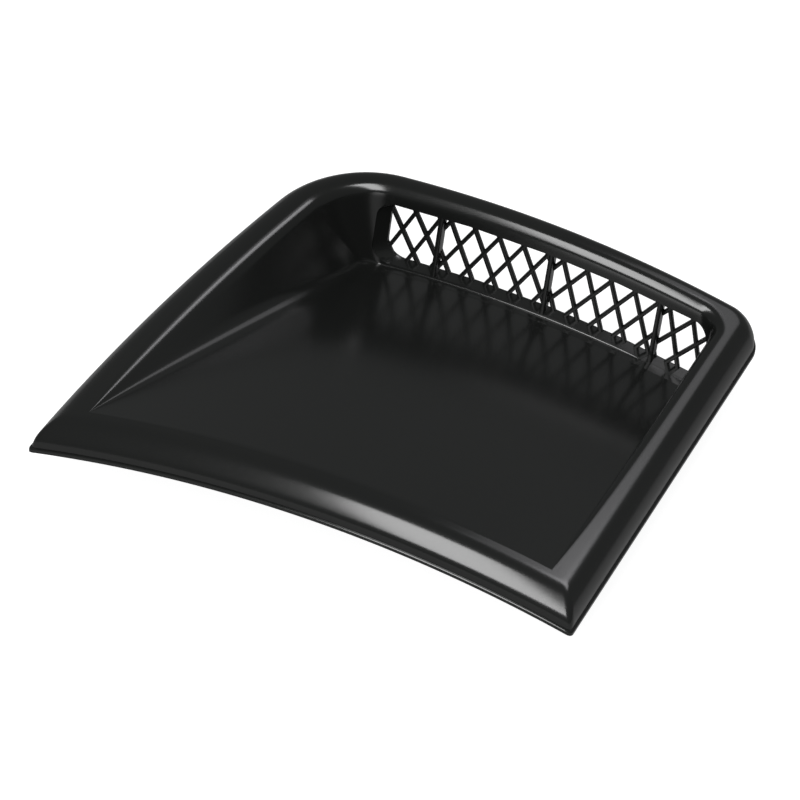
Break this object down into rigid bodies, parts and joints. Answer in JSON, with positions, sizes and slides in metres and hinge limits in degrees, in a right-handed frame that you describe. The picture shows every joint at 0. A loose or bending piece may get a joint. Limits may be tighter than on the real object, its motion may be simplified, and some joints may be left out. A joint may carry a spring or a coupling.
{
  "type": "bumper vent trim",
  "caption": "Corner vent trim for a car bumper: a rolled frame round a scoop that slopes down to a back wall with a diamond-lattice air grille.",
  "frame": {"origin": "middle of the front edge, on the curved bumper skin that the rim sits on", "axes": "+X along the front edge, +Y from the front edge to the grille, +Z out of the bumper"},
  "size_m": [0.2571, 0.232, 0.0591],
  "materials": {
    "black_plastic": "moulded black plastic with an even satin gloss"
  },
  "bodies": {
    "root": {"vent_trim": "black_plastic"}
  },
  "joints": []
}
